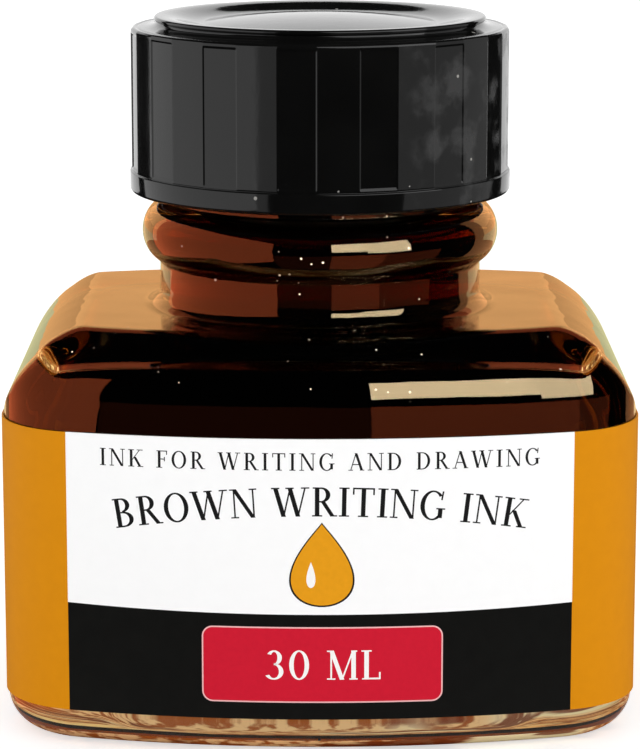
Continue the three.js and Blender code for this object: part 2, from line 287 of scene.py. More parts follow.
def covering_rows(plan, inset, target, height, steps):
    """Rows over a rounded top, from the outline to the ring `target`, close together at the edge."""
    start = outline(plan, inset)
    samples = np.linspace(0, 1, 240)
    path = start[:, None, :] + (target - start)[:, None, :] * samples[None, :, None]
    depth = depth_inside(plan, path[..., 0], path[..., 1]) - inset
    depth = np.maximum.accumulate(depth, axis=1) + samples * 1e-6
    rows = []
    for step in range(steps + 1):
        share = 1 - math.cos(math.pi / 2 * step / steps)
        if step == steps:
            share = 1.0
        at = np.array([np.interp(share * d[-1], d, samples) for d in depth])
        points = start + (target - start) * at[:, None]
        rows.append(level(points, height(points[:, 0], points[:, 1])))
    return rows


def new_object(name, vertices, faces, material, smooth=True):
    """A mesh object from vertices in millimetres."""
    mesh = bpy.data.meshes.new(name)
    mesh.from_pydata([tuple(v) for v in np.asarray(vertices) * MM], [], faces)
    mesh.polygons.foreach_set("use_smooth", [smooth] * len(mesh.polygons))
    mesh.update()
    obj = bpy.data.objects.new(name, mesh)
    bpy.context.scene.collection.objects.link(obj)
    obj.data.materials.append(material)
    return obj


def loft(name, rows, first_z, last_z, material):
    """A closed skin through rows of equal length, closed at each end on the neck's axis."""
    rows = np.array(rows)
    count = rows.shape[1]
    total = rows.shape[0] * count
    vertices = np.concatenate([rows.reshape(-1, 3), [[0, 0, first_z], [0, 0, last_z]]])
    here = np.arange(count)
    after = np.roll(here, -1)
    faces = []
    for row in range(rows.shape[0] - 1):
        low, high = row * count, (row + 1) * count
        faces += np.stack([low + here, low + after, high + after, high + here], axis=1).tolist()
    top = total - count
    faces += [[total, int(b), int(a)] for a, b in zip(here, after)]
    faces += [[total + 1, top + int(a), top + int(b)] for a, b in zip(here, after)]
    return new_object(name, vertices, faces, material)


def ring(angles, radius):
    """Points in plan on a circle, or on any radius per angle."""
    return np.stack([radius * np.cos(angles), radius * np.sin(angles)], axis=1)


def thread_rise(angles, z, base_z, start_turn, root_half, crest_half):
    """Height, from 0 to 1, of a helical ridge over the wall at height z."""
    rise = np.zeros_like(angles)
    turn_of = (angles / (2 * math.pi) - start_turn) % 1.0
    for lap in range(2):
        turns = turn_of + lap
        fade = np.clip(np.minimum(6 * turns, 6 * (THREAD_TURNS - turns)), 0, 1)
        off = np.abs(z - base_z - PITCH * turns)
        rise = np.maximum(rise, fade * np.clip((root_half - off) / (root_half - crest_half), 0, 1))
    return rise


def neck_radius(angles, z):
    """Outside of the neck and screw finish at height z."""
    wall = NECK_RADIUS if z < BEAD_Z else FINISH_RADIUS
    radius = np.full_like(angles, wall)
    offset = (z - BEAD_Z) / BEAD_HALF_HEIGHT
    if abs(offset) < 1:
        bead = BEAD_RADIUS - BEAD_ROUND + BEAD_ROUND * math.sqrt(1 - offset**2)
        radius = soft_max(radius, np.full_like(angles, bead), 0.5)
    rise = thread_rise(angles, z, GLASS_THREAD_BASE, 0.0, 1.15, 0.5)
    root = FINISH_RADIUS - 0.3
    return soft_max(radius, root + (GLASS_THREAD_CREST - root) * rise, 0.3)


PLAN_ANGLES = np.arctan2(outline(BODY, 0)[:, 1], outline(BODY, 0)[:, 0])


def base_rows():
    """Underside: punt, bearing ring and base rounding, from the middle out."""
    rows = []
    for t in np.linspace(1, 0, 13):
        lift = PUNT_DEPTH * (0.5 - 0.5 * math.cos(math.pi * t))
        rows.append(level(outline(PUNT, PUNT_SLOPE * t), lift))
    rows.append(level(outline(BODY, BASE_ROUND + 0.3), 0.0))
    for turn in np.linspace(0, math.pi / 2, 17):
        inset = BASE_ROUND * (1 - math.sin(turn))
        rows.append(level(outline(BODY, inset), BASE_ROUND * (1 - math.cos(turn))))
    return rows


def fillet_rows(row, radius_from, radius_to, up):
    """A fillet of the neck or bore: from a row on a flat surface, up onto the wall."""
    rows = []
    size = abs(radius_from - radius_to)
    side = math.copysign(1, radius_to - radius_from)
    for turn in np.linspace(0, math.pi / 2, 11)[1:]:
        radius = radius_from + side * size * math.sin(turn)
        lift = size * (1 - math.cos(turn))
        rows.append(level(ring(PLAN_ANGLES, radius), row[:, 2] + up * lift))
    return rows


def bottle_glass(material, wall_material, base_material):
    """The whole glass as one skin: outside from the base up, over the rim, and down inside."""
    rows = base_rows()
    for z in np.linspace(BASE_ROUND, SHOULDER_START, 9)[1:-1]:
        rows.append(level(outline(BODY, 0), z))
    foot = ring(PLAN_ANGLES, NECK_RADIUS + NECK_FILLET)
    rows += covering_rows(BODY, 0, foot, shoulder_height, 80)
    rows += fillet_rows(rows[-1], NECK_RADIUS + NECK_FILLET, NECK_RADIUS, 1)
    start = rows[-1][:, 2]
    neck_start = BEAD_Z - BEAD_HALF_HEIGHT - 0.4
    for share in (0.25, 0.5, 0.75):
        z = start + (neck_start - start) * share
        rows.append(level(ring(PLAN_ANGLES, NECK_RADIUS), z))
    for z in np.arange(neck_start, RIM_Z - RIM_ROUND, 0.11):
        rows.append(level(ring(PLAN_ANGLES, neck_radius(PLAN_ANGLES, z)), z))
    for turn in np.linspace(0, math.pi / 2, 7):
        radius = FINISH_RADIUS - RIM_ROUND * (1 - math.cos(turn))
        rows.append(level(ring(PLAN_ANGLES, radius), RIM_Z - RIM_ROUND * (1 - math.sin(turn))))
    for turn in np.linspace(math.pi / 2, 0, 7):
        radius = BORE_RADIUS + RIM_ROUND * (1 - math.cos(turn))
        rows.append(level(ring(PLAN_ANGLES, radius), RIM_Z - RIM_ROUND * (1 - math.sin(turn))))
    outer = len(rows)
    rows += cavity_rows(0.0)
    wetted_from = outer + sum(row[:, 2].min() >= INK_LEVEL - 1e-6 for row in rows[outer:]) - 1
    glass = loft("bottle_glass", rows, PUNT_DEPTH, FLOOR, material)
    glass.data.materials.append(wall_material)
    glass.data.materials.append(base_material)
    columns = len(PLAN_ANGLES)
    total = len(glass.data.polygons)
    paint(glass, 1, range(wetted_from * columns, total - 2 * columns), range(total - columns, total))
    paint(glass, 2, range(UNDERSIDE_ROWS * columns), range(total - 2 * columns, total - columns))
    return glass


def paint(obj, index, *faces):
    """Gives ranges of faces one of the object's materials."""
    indices = np.zeros(len(obj.data.polygons), dtype=int)
    obj.data.polygons.foreach_get("material_index", indices)
    for numbers in faces:
        indices[numbers.start : numbers.stop] = index
    obj.data.polygons.foreach_set("material_index", indices)


def cavity_rows(grow):
    """The cavity's skin from the neck down to its floor, `grow` larger all round."""
    bore = BORE_RADIUS + grow
    rows = []
    ring_out = ring(PLAN_ANGLES, BORE_RADIUS + BORE_FLARE)
    cover = covering_rows(CAVITY, -grow, ring_out, lambda x, y: ceiling_height(x, y, grow), 30)
    flare = fillet_rows(cover[-1], BORE_RADIUS + BORE_FLARE, bore, 1)
    top = flare[-1][:, 2].max()
    for z in np.linspace(RIM_Z - RIM_ROUND, INK_LEVEL, 13)[1:]:
        rows.append(level(ring(PLAN_ANGLES, bore), z))
    for z in np.linspace(INK_LEVEL, top + 0.5, 12)[1:]:
        rows.append(level(ring(PLAN_ANGLES, bore), z))
    rows += flare[::-1]
    rows += cover[::-1]
    floor = FLOOR - grow
    for turn in np.linspace(0, math.pi / 2, 17):
        inset = CAVITY_FLOOR_ROUND * (1 - math.cos(turn)) - grow
        z = floor + CAVITY_FLOOR_ROUND * (1 - math.sin(turn))
        rows.append(level(outline(CAVITY, inset), z))
    return rows


def ink_body(material, surface_material):
    """The liquid: the cavity's skin a hair smaller, cut off at its level with a meniscus."""
    wall = [row for row in cavity_rows(-INK_GAP) if row[:, 2].max() < INK_LEVEL - 1e-6]
    surface = []
    radius = BORE_RADIUS - INK_GAP
    for inset in np.linspace(0, MENISCUS_REACH, 9):
        climb = MENISCUS_HEIGHT * (1 - inset / MENISCUS_REACH) ** 2
        surface.append(level(ring(PLAN_ANGLES, radius - inset), INK_LEVEL - MENISCUS_HEIGHT + climb))
    rows = (surface[::-1] + wall)[::-1]
    ink = loft("ink_body", rows, FLOOR + INK_GAP, INK_LEVEL - MENISCUS_HEIGHT, material)
    ink.data.materials.append(surface_material)
    columns = len(PLAN_ANGLES)
    total = len(ink.data.polygons)
    paint(ink, 1, range(len(wall) * columns, total - 2 * columns), range(total - columns, total))
    return ink


def grip_columns():
    """Angles of the cap's columns, close together at the edges of its facets."""
    near, next_to = 0.08, 0.35
    wide = [near, next_to, *np.linspace(1.2, WIDE - 1.2, 9), WIDE - next_to, WIDE - near]
    narrow = [WIDE + near, WIDE + next_to, *np.linspace(WIDE + 1.1, PAIR - 1.1, 8)]
    narrow += [PAIR - next_to, PAIR - near]
    pair = np.array(wide + narrow)
    turns = np.arange(round(360 / PAIR))[:, None] * PAIR
    return np.radians((turns + pair[None, :]).ravel() + FIRST_EDGE - 90)


def grip_radius(angles, z):
    """Outside of the faceted grip: flats, of which the narrow ones are sunk between two levels."""
    place = (np.degrees(angles) + 90 - FIRST_EDGE) % PAIR
    narrow = place > WIDE
    half = np.where(narrow, PAIR - WIDE, WIDE) / 2
    middle = np.where(narrow, (PAIR + WIDE) / 2, WIDE / 2)
    flat = FACET_RADIUS * np.cos(np.radians(half)) / np.cos(np.radians(place - middle))
    flat += FACET_BOW * (FACET_RADIUS - flat)
    low = CAP_LOW[2] + FLANGE_HEIGHT + SUNK_FROM
    high = FACET_TOP - SUNK_TO
    depth = np.clip(min(z - low, high - z) / 0.06, 0, 1)
    return flat - np.where(narrow, SUNK * depth, 0)


def cap_skin(material):
    """Cap shell as one skin: from the ceiling down inside, round the flange and up outside."""
    angles = grip_columns()
    start_turn = (CAP_THREAD_BASE - GLASS_THREAD_BASE) / PITCH + 0.5
    flange_top = CAP_LOW[2] + FLANGE_HEIGHT
    rows = []

    def add(radius, z):
        rows.append(level(ring(angles, radius), z))

    for radius in (4.0, 8.0, 12.0, CAP_BORE - 0.6):
        add(radius, CAP_CEILING)
    for turn in np.linspace(0, math.pi / 2, 6)[1:]:
        add(CAP_BORE - 0.6 * (1 - math.sin(turn)), CAP_CEILING - 0.6 * (1 - math.cos(turn)))
    for z in np.arange(CAP_CEILING - 0.75, CAP_LOW[2] + 0.7, -0.14):
        rise = thread_rise(angles, z, CAP_THREAD_BASE, start_turn, 0.95, 0.4)
        add(soft_min(CAP_BORE, CAP_BORE + 0.3 - (CAP_BORE + 0.3 - CAP_THREAD_CREST) * rise, 0.3), z)
    for turn in np.linspace(0, math.pi / 2, 5):
        add(CAP_BORE + 0.3 * (1 - math.cos(turn)), CAP_LOW[2] + 0.5 * (1 - math.sin(turn)))
    for turn in np.linspace(0, math.pi / 2, 6):
        add(FLANGE_RADIUS - 0.3 * (1 - math.sin(turn)), CAP_LOW[2] + 0.3 * (1 - math.cos(turn)))
    for turn in np.linspace(0, math.pi / 2, 6):
        add(FLANGE_RADIUS - 0.12 * (1 - math.cos(turn)), flange_top - 0.12 * (1 - math.sin(turn)))
    add(grip_radius(angles, flange_top) - 0.03, flange_top + 0.03)
    sunk_low = flange_top + SUNK_FROM
    sunk_high = FACET_TOP - SUNK_TO
    levels = [flange_top + 0.08, sunk_low - 0.01, sunk_low + 0.07, sunk_low + 0.2]
    levels += list(np.linspace(sunk_low + 1.5, sunk_high - 1.5, 6))
    levels += [sunk_high - 0.2, sunk_high - 0.07, sunk_high + 0.01, FACET_TOP]
    for z in levels:
        add(grip_radius(angles, z), z)
    edge = 0.3
    facet = grip_radius(angles, FACET_TOP)
    for turn in np.linspace(0, math.pi / 2, 7)[1:]:
        add(facet - edge * (1 - math.cos(turn)), FACET_TOP + edge * math.sin(turn))
    # A shallow groove inside the edge, then a cove that sweeps up to the foot of the disc.
    groove = FACET_RADIUS - 0.55
    for offset, sink in ((0.1, 0.02), (0.0, 0.06), (-0.1, 0.02)):
        add(groove + offset, FACET_TOP + edge - sink)
    cove_from = groove - 0.2
    cove_to = DISC_RADIUS - 0.12
    lip_low = CAP_TOP - 0.5
    for t in np.linspace(0, 1, 10):
        turn = t * math.pi / 2
        climb = (lip_low - FACET_TOP - edge) * (1 - math.cos(turn))
        add(cove_from + (cove_to - cove_from) * math.sin(turn), FACET_TOP + edge + climb)
    for turn in np.linspace(-math.pi / 2, math.pi / 2, 14)[1:]:
        add(DISC_RADIUS - 0.22 + 0.22 * math.cos(turn), CAP_TOP - 0.22 + 0.22 * math.sin(turn))
    # The recess inside the disc's rim, then its domed middle.
    land = DISC_RADIUS - 0.6
    for share in np.linspace(0, 1, 16):
        sink = RECESS_DEPTH * (0.5 - 0.5 * math.cos(math.pi * share))
        add(land + (DOME_RADIUS - land) * share, CAP_TOP - sink)
    dome_top = CAP_TOP - RECESS_DEPTH + DOME_RISE
    for share in np.linspace(1, 0, 24)[1:-1]:
        add(DOME_RADIUS * share, dome_top - DOME_RISE * share**2)
    return loft("cap_moulding", rows, CAP_CEILING, dome_top, material)


def liner_disc(name, low, high, edge, material):
    """A die-cut ply with softened edges."""
    angles = np.linspace(-math.pi / 2, 1.5 * math.pi, 193)[:-1]
    radius = high[0]
    rows = [level(ring(angles, radius * share), low[2]) for share in (0.3, 0.65)]
    for z, side in ((low[2], -1), (high[2], 1)):
        for turn in np.linspace(0, math.pi / 2, 5)[::side]:
            rim = ring(angles, radius - edge * (1 - math.cos(turn)))
            rows.append(level(rim, z - side * edge * (1 - math.sin(turn))))
    rows += [level(ring(angles, radius * share), high[2]) for share in (0.65, 0.3)]
    return loft(name, rows, low[2], high[2], material)


def label_sheet(material):
    """The paper: one thin closed band that follows the body's rounded corners, with flat ends at its seam.
    """
    inner = outline(BODY, -LABEL_GAP, LABEL_SEAM, closed=False)
    outer = outline(BODY, -LABEL_GAP - LABEL_THICKNESS, LABEL_SEAM, closed=False)
    count = len(inner)
    heights = np.linspace(LABEL_BOTTOM, LABEL_TOP, 9)
    loop = [level(outer, z) for z in heights] + [level(inner, z) for z in heights[::-1]]
    vertices = np.concatenate(loop)
    faces = []
    total = len(loop)
    for row in range(total):
        low, high = row * count, ((row + 1) % total) * count
        for i in range(count - 1):
            faces.append([low + i, low + i + 1, high + i + 1, high + i])
    half = total // 2
    for row in range(half - 1):
        opposite = total - 1 - row
        below = opposite - 1
        faces.append([row * count, (row + 1) * count, below * count, opposite * count])
        end = count - 1
        faces.append([r * count + end for r in (opposite, below, row + 1, row)])
    return new_object("label_paper", vertices, faces, material, smooth=False)


# Lettering, drawn as strokes in a frame where capitals are 1 high and stand on 0.
THICK = 0.15
THIN = 0.055
SERIF = 0.045


def box(x0, y0, x1, y1):
    return [[(x0, y0), (x0, y1)], [(x1, y0), (x1, y1)]]


def bar(x0, y0, x1, y1, width):
    """A stroke between two heights, cut off level at both ends."""
    half = width / 2
    return [[(x0 - half, y0), (x0 + half, y0)], [(x1 - half, y1), (x1 + half, y1)]]


def bowl(x, y, rx, ry, start, end, thick=THICK, thin=THIN):
    """A round stroke, thick at its sides and thin at its top and bottom. Angles in degrees."""
    strip = []
    for degrees in np.linspace(start, end, max(8, round(abs(end - start) / 12))):
        c, s = math.cos(math.radians(degrees)), math.sin(math.radians(degrees))
        strip.append([(x + rx * c, y + ry * s), (x + (rx - thick) * c, y + (ry - thin) * s)])
    return strip


def serifs(y, *centres, half=0.17):
    low = 0 if y == 0 else 1 - SERIF
    return [box(x - half, low, x + half, low + SERIF) for x in centres]


def stem(x, width=THICK):
    return bar(x, 0, x, 1, width)


# Strokes that several letters share: the left stem, and the half serifs at its foot and head.
STEM = stem(0.2)
FOOT = box(0.05, 0, 0.2, SERIF)
HEAD = box(0.05, 1 - SERIF, 0.2, 1)

# Each letter's advance and strokes.
LETTERS = {
    "A": (0.9, [
        bar(0.13, 0, 0.43, 1, THIN), bar(0.76, 0, 0.43, 1, THICK), box(0.22, 0.32, 0.64, 0.32 + THIN),
        *serifs(0, 0.13, 0.77, half=0.13),
    ]),
    "B": (0.78, [
        STEM, bowl(0.34, 0.755, 0.29, 0.245, -90, 90), bowl(0.36, 0.265, 0.34, 0.265, -90, 90),
        box(0.2, 0, 0.37, THIN), box(0.2, 0.48, 0.37, 0.53), box(0.2, 1 - THIN, 0.35, 1), FOOT, HEAD,
    ]),
    "D": (0.9, [
        STEM, bowl(0.36, 0.5, 0.46, 0.5, -90, 90), box(0.2, 0, 0.37, THIN), box(0.2, 1 - THIN, 0.37, 1),
        FOOT, HEAD,
    ]),
    "F": (0.7, [
        STEM, box(0.2, 1 - THIN, 0.64, 1), bar(0.63, 0.76, 0.63, 1, THIN),
        box(0.2, 0.48, 0.5, 0.48 + THIN), bar(0.5, 0.38, 0.5, 0.63, THIN), *serifs(0, 0.2), HEAD,
    ]),
    "G": (0.94, [
        bowl(0.47, 0.5, 0.42, 0.515, 42, 312), bar(0.74, 0.08, 0.74, 0.42, THICK),
        box(0.6, 0.42 - SERIF, 0.9, 0.42), bar(0.76, 0.7, 0.79, 1, THIN),
    ]),
    "I": (0.4, [STEM, *serifs(0, 0.2), *serifs(1, 0.2)]),
    "K": (0.88, [
        STEM, bar(0.26, 0.4, 0.7, 1, THIN), bar(0.72, 0, 0.4, 0.57, THICK), *serifs(0, 0.2, 0.73),
        *serifs(1, 0.2, 0.7),
    ]),
    "L": (0.7, [STEM, box(0.2, 0, 0.65, THIN), bar(0.64, 0, 0.64, 0.25, THIN), FOOT, *serifs(1, 0.2)]),
    "M": (1.08, [
        bar(0.16, 0, 0.16, 1, THIN), bar(0.52, 0, 0.17, 1, THICK), bar(0.52, 0, 0.88, 1, THIN),
        stem(0.9), *serifs(0, 0.16, 0.9, half=0.14), *serifs(1, 0.12, 0.92, half=0.1),
    ]),
    "N": (0.92, [
        bar(0.15, 0, 0.15, 1, THIN), bar(0.76, 0, 0.16, 1, THICK), bar(0.79, 0, 0.79, 1, THIN),
        *serifs(0, 0.15, half=0.13), *serifs(1, 0.1, half=0.1), *serifs(1, 0.79, half=0.13),
    ]),
    "O": (0.92, [bowl(0.46, 0.5, 0.42, 0.515, 0, 360)]),
    "R": (0.86, [
        STEM, bowl(0.34, 0.74, 0.3, 0.26, -90, 90), box(0.2, 0.48, 0.35, 0.48 + THIN),
        box(0.2, 1 - THIN, 0.35, 1), bar(0.72, 0, 0.4, 0.5, THICK), *serifs(0, 0.2),
        *serifs(0, 0.75, half=0.12), HEAD,
    ]),
    "T": (0.8, [
        stem(0.4), box(0.04, 1 - THIN, 0.76, 1), bar(0.06, 0.76, 0.06, 1, THIN),
        bar(0.74, 0.76, 0.74, 1, THIN), *serifs(0, 0.4),
    ]),
    "W": (1.26, [
        bar(0.38, 0, 0.12, 1, THICK), bar(0.38, 0, 0.62, 1, THIN), bar(0.86, 0, 0.6, 1, THICK),
        bar(0.86, 0, 1.12, 1, THIN), *serifs(1, 0.12, 0.6, 1.12, half=0.14),
    ]),
    "3": (0.74, [bowl(0.36, 0.745, 0.26, 0.255, -90, 150), bowl(0.35, 0.27, 0.32, 0.28, -150, 90)]),
    "0": (0.8, [bowl(0.4, 0.5, 0.33, 0.51, 0, 360)]),
    " ": (0.4, []),
}


def line_of_text(text, height, width, middle, base, arch=0.0):
    """Strips for a line of lettering, spread to a width; `arch` is the radius it's bent to."""
    tracking = (width - height * sum(LETTERS[c][0] for c in text)) / (len(text) - 1)
    strips = []
    pen = middle - width / 2
    for letter in text:
        advance, strokes = LETTERS[letter]
        centre = pen + advance * height / 2
        turn = math.asin((centre - middle) / arch) if arch else 0.0
        drop = arch * (1 - math.cos(turn)) if arch else 0.0
        for strip in strokes:
            placed = []
            for pair in strip:
                placed.append([])
                for x, y in pair:
                    dx, dy = (x - advance / 2) * height, y * height
                    across = dx * math.cos(turn) + dy * math.sin(turn)
                    up = dy * math.cos(turn) - dx * math.sin(turn)
                    placed[-1].append((centre + across, base - drop + up))
            strips.append(placed)
        pen += advance * height + tracking
    return strips


def plaque(width, height, corner, middle, centre_z, grow=0.0):
    """A filled rectangle with round corners, as one strip from left to right."""
    half, tall, corner = width / 2 + grow, height / 2 + grow, corner + grow
    inner = half - corner
    turns = np.linspace(0, math.pi / 2, 9)
    across = [-inner - corner * math.cos(t) for t in turns] + list(np.linspace(-inner, inner, 12)[1:-1])
    across += [inner + corner * math.sin(t) for t in turns]
    strip = []
    for x in across:
        past = max(0.0, abs(x) - inner)
        rise = tall - corner + math.sqrt(max(corner**2 - past**2, 1e-6))
        strip.append([(middle + x, centre_z - rise), (middle + x, centre_z + rise)])
    return strip


def drop_shape(width, height, middle, low, grow=0.0, strips=8):
    """A filled drop of ink, pointed at the top, as narrow strips that follow the label's bow."""
    rows = []
    for t in np.linspace(0.02, 0.995, 34):
        # Half width of the teardrop curve at this share of its outline.
        angle = math.pi * t
        half = (width / 2 + grow) * math.sin(angle) * math.cos(angle / 2) ** 1.15 * 1.42
        z = low - grow + (height + 2 * grow) * (1 - math.cos(angle)) / 2
        rows.append((half, z))
    edges = np.linspace(-1, 1, strips + 1)
    return [
        [[(middle + half * left, z), (middle + half * right, z)] for half, z in rows]
        for left, right in zip(edges[:-1], edges[1:])
    ]


def printed(name, strips, lift, material):
    """Closed slivers of print that lie on the label's bowed front, `lift` proud of the paper."""
    front = BOW_RADIUS + LABEL_GAP + LABEL_THICKNESS
    bow_y = BOW_RADIUS - CREST
    vertices, faces = [], []

    def put(along, z, depth):
        radius = front + depth
        angle = along / front
        vertices.append((radius * math.sin(angle), bow_y - radius * math.cos(angle), z))

    for strip in strips:
        start = len(vertices)
        closed = np.allclose(strip[0], strip[-1])
        pairs = strip[:-1] if closed else strip
        for (x0, z0), (x1, z1) in pairs:
            for x, z in ((x0, z0), (x1, z1)):
                put(x, z, lift)
                put(x, z, -PRINT_SINK)
        (ax, az), (bx, bz) = pairs[0]
        (cx, cz), _ = pairs[1]
        flip = (bx - ax) * (cz - az) - (bz - az) * (cx - ax) < 0
        count = len(pairs)
        own = []
        for i in range(count if closed else count - 1):
            a, b = start + 4 * i, start + 4 * ((i + 1) % count)
            own += [(a, a + 2, b + 2, b), (a + 1, b + 1, b + 3, a + 3)]
            own += [(a, b, b + 1, a + 1), (a + 2, a + 3, b + 3, b + 2)]
        if not closed:
            end = start + 4 * (count - 1)
            own += [(start, start + 1, start + 3, start + 2), (end, end + 2, end + 3, end + 1)]
        faces += [face[::-1] for face in own] if flip else own
    return new_object(name, vertices, faces, material, smooth=False)


def principled(name):
    material = bpy.data.materials.new(name)
    material.use_nodes = True
    tree = material.node_tree
    return material, tree, tree.nodes["Principled BSDF"]


def node_kit(tree):
    """Short ways to add nodes to a tree."""
    nodes, links = tree.nodes, tree.links

    def feed(socket, value):
        if isinstance(value, (int, float, tuple)):
            socket.default_value = value
        else:
            links.new(value, socket)

    def math_node(operation, a, b=None):
        node = nodes.new("ShaderNodeMath")
        node.operation = operation
        feed(node.inputs[0], a)
        if b is not None:
            feed(node.inputs[1], b)
        return node.outputs[0]

    def times(a, b):
        return math_node("MULTIPLY", a, b)

    def mix(factor, a, b):
        node = nodes.new("ShaderNodeMix")
        node.data_type = "RGBA"
        feed(node.inputs["Factor"], factor)
        feed(node.inputs[6], a)
        feed(node.inputs[7], b)
        return node.outputs[2]

    def ramp(value, low, high):
        node = nodes.new("ShaderNodeMapRange")
        node.interpolation_type = "SMOOTHSTEP"
        feed(node.inputs["Value"], value)
        node.inputs["From Min"].default_value = low
        node.inputs["From Max"].default_value = high
        return node.outputs["Result"]

    return math_node, times, mix, ramp


def place_on(tree):
    """Object coordinates, and their x, y and z."""
    coords = tree.nodes.new("ShaderNodeTexCoord").outputs["Object"]
    split = tree.nodes.new("ShaderNodeSeparateXYZ")
    tree.links.new(coords, split.inputs[0])
    return coords, split.outputs


def noise(tree, coords, size, detail=2.0, stretch=(1, 1, 1)):
    """Noise, 0 to 1, with features about `size` millimetres across."""
    mapping = tree.nodes.new("ShaderNodeMapping")
    mapping.inputs["Scale"].default_value = stretch
    tree.links.new(coords, mapping.inputs["Vector"])
    node = tree.nodes.new("ShaderNodeTexNoise")
    node.inputs["Scale"].default_value = 1 / (size * MM)
    node.inputs["Detail"].default_value = detail
    tree.links.new(mapping.outputs[0], node.inputs["Vector"])
    return node.outputs[0]


def specks(tree, coords, size, share):
    """1 on small scattered dots, 0 elsewhere: `share` of the cells of about `size` mm hold one."""
    node = tree.nodes.new("ShaderNodeTexVoronoi")
    node.inputs["Scale"].default_value = 1 / (size * MM)
    tree.links.new(coords, node.inputs["Vector"])
    math_node, times, _, _ = node_kit(tree)
    chosen = tree.nodes.new("ShaderNodeSeparateColor")
    tree.links.new(node.outputs["Color"], chosen.inputs[0])
    picked = math_node("LESS_THAN", chosen.outputs[0], share)
    width = times(chosen.outputs[1], 0.12)
    dot = math_node("LESS_THAN", node.outputs["Distance"], width)
    return times(picked, dot)


def bump(tree, shader, height, distance, strength=1.0):
    """Small relief, `distance` millimetres deep where the height runs from 0 to 1."""
    node = tree.nodes.new("ShaderNodeBump")
    node.inputs["Strength"].default_value = strength
    node.inputs["Distance"].default_value = distance * MM
    tree.links.new(height, node.inputs["Height"])
    tree.links.new(node.outputs[0], shader.inputs["Normal"])


def absorb(tree, colour, density):
    node = tree.nodes.new("ShaderNodeVolumeAbsorption")
    node.inputs["Color"].default_value = (*colour, 1)
    node.inputs["Density"].default_value = density
    tree.links.new(node.outputs[0], tree.nodes["Material Output"].inputs["Volume"])


def clear_liquid_or_glass(name, ior):
    material, tree, shader = principled(name)
    shader.inputs["Base Color"].default_value = (1, 1, 1, 1)
    shader.inputs["Roughness"].default_value = 0.0
    shader.inputs["IOR"].default_value = ior
    shader.inputs["Transmission Weight"].default_value = 1.0
    return material, tree, shader


def clear_glass():
    """Moulded glass: faint waves in its skin, and dust on the front of the shoulder."""
    material, tree, shader = clear_liquid_or_glass("bottle_glass", GLASS_IOR)
    math_node, times, _, ramp = node_kit(tree)
    coords, place = place_on(tree)
    waves = times(noise(tree, coords, 9.0, 1.0), 0.12)
    wavelets = times(noise(tree, coords, 2.6, 0.0), 0.01)
    bump(tree, shader, math_node("ADD", waves, wavelets), 1.0)
    dust = times(specks(tree, coords, 0.9, 0.3), ramp(place["Z"], 30 * MM, 32 * MM))
    dust = times(dust, ramp(place["Y"], -8 * MM, -14 * MM))
    tree.links.new(math_node("SUBTRACT", 1.0, dust), shader.inputs["Transmission Weight"])
    absorb(tree, GLASS_TINT, GLASS_DENSITY)
    return material


def stippled_base_painted_light():
    """The glass's underside: moulded stipple that scatters the light from the table, with a mottled brown,
    tan and cream colour painted on it that stands in for that light seen through the base.
    """
    material, tree, shader = clear_liquid_or_glass("bottle_glass_stippled_painted_light", GLASS_IOR)
    _, times, mix, ramp = node_kit(tree)
    coords, _ = place_on(tree)
    grain = noise(tree, coords, 0.7, 6.0, (0.5, 1, 1))
    patches = noise(tree, coords, 7.0, 2.0, (0.5, 1, 1))
    streaks = noise(tree, coords, 5.0, 3.0, (0.3, 1, 3))
    # Painted light and shade: the mottled tan and cream, and the dark streaks, stand in for the table's
    # light seen through the base, not the glass's own colour.
    colour = mix(ramp(grain, 0.42, 0.58), (0.42, 0.13, 0.03, 1), (1.0, 0.74, 0.44, 1))
    colour = mix(ramp(patches, 0.52, 0.66), colour, (1.0, 1.0, 0.78, 1))
    colour = mix(times(ramp(streaks, 0.55, 0.6), 0.9), colour, (0.2, 0.04, 0.01, 1))
    tree.links.new(colour, shader.inputs["Base Color"])
    shader.inputs["Roughness"].default_value = 0.45
    bump(tree, shader, grain, 0.3)
    scattered = tree.nodes.new("ShaderNodeMixShader")
    scattered.inputs[0].default_value = 0.5
    for place_in_mix, kind in ((1, "ShaderNodeBsdfTranslucent"), (2, "ShaderNodeBsdfDiffuse")):
        scatter = tree.nodes.new(kind)
        tree.links.new(colour, scatter.inputs["Color"])
        tree.links.new(scatter.outputs[0], scattered.inputs[place_in_mix])
    both = tree.nodes.new("ShaderNodeMixShader")
    both.inputs[0].default_value = 0.92
    tree.links.new(shader.outputs[0], both.inputs[1])
    tree.links.new(scattered.outputs[0], both.inputs[2])
    tree.links.new(both.outputs[0], tree.nodes["Material Output"].inputs["Surface"])
    absorb(tree, GLASS_TINT, GLASS_DENSITY)
    return material


def wetted_wall():
    """The glass's inner wall where the ink touches it: it bends light from glass to ink."""
    material, tree, shader = clear_liquid_or_glass("bottle_glass_wetted", GLASS_IOR / INK_IOR)
    coords, _ = place_on(tree)
    bump(tree, shader, noise(tree, coords, 7.0, 1.0), 0.15)
    return material


def ink_liquid(name, ior):
    material, tree, shader = clear_liquid_or_glass(name, ior)
    coords, _ = place_on(tree)
    bump(tree, shader, noise(tree, coords, 4.0, 1.0), 0.02)
    absorb(tree, INK_TINT, INK_DENSITY)
    return material


